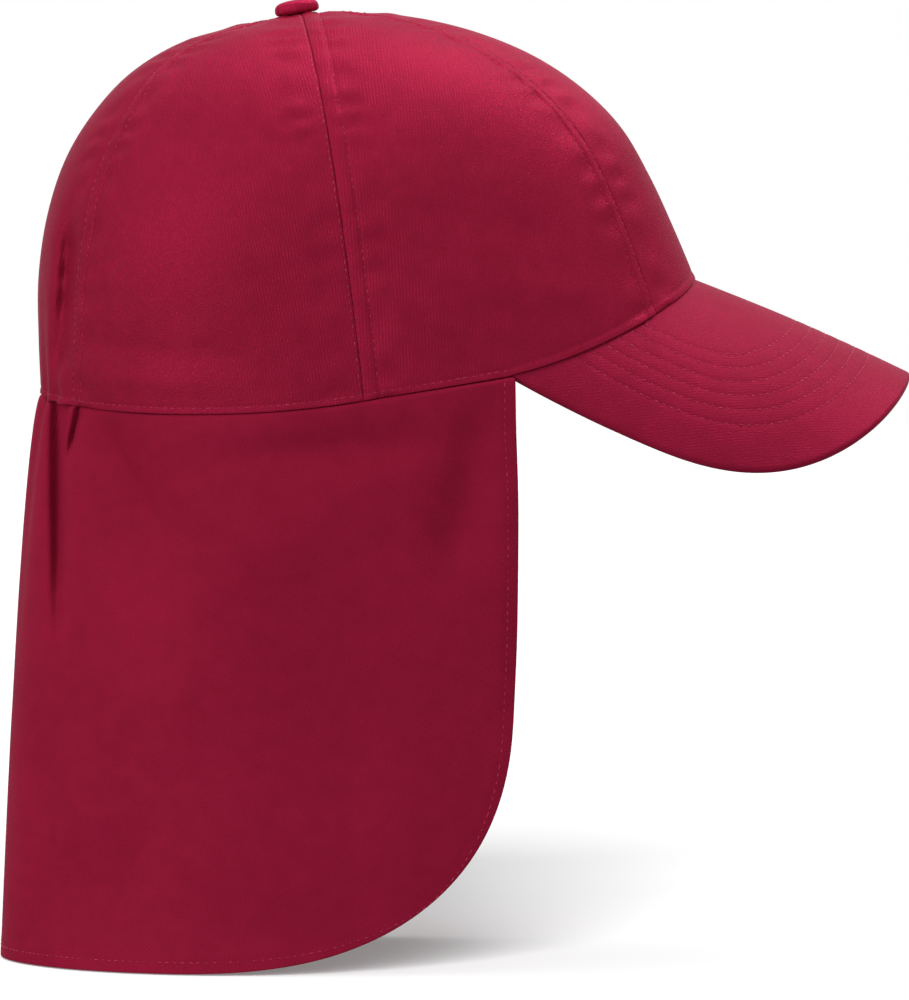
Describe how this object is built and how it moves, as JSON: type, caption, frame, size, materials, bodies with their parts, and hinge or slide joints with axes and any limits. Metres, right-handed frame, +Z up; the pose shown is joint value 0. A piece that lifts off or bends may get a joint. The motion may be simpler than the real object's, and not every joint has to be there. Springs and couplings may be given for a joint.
{
  "type": "legionnaire cap",
  "caption": "Cloth cap with a panelled crown, a stiff curved peak in front, a covered top button and a neck flap hanging from the rim at the sides and back.",
  "frame": {"origin": "centre of the head opening, where the crown's own axis meets the plane of the rim", "axes": "+X to the wearer's front, +Y to the wearer's left, +Z up as the cap is worn; the crown's own axis leans back 9.4 degrees from +Z"},
  "size_m": [0.2859, 0.1618, 0.3006],
  "materials": {
    "crown_cloth": "fine cotton twill, soft sheen",
    "button_cloth": "twill stretched over a button",
    "peak_cloth": "twill over a stiff board, six stitch rows",
    "flap_cloth": "single cotton twill, matt, hemmed"
  },
  "bodies": {
    "root": {"front_panel": "crown_cloth", "left_front_side_panel": "crown_cloth", "right_front_side_panel": "crown_cloth", "left_rear_side_panel": "crown_cloth", "right_rear_side_panel": "crown_cloth", "rear_panel": "crown_cloth", "top_button": "button_cloth", "peak": "peak_cloth", "neck_flap": "flap_cloth"}
  },
  "joints": []
}
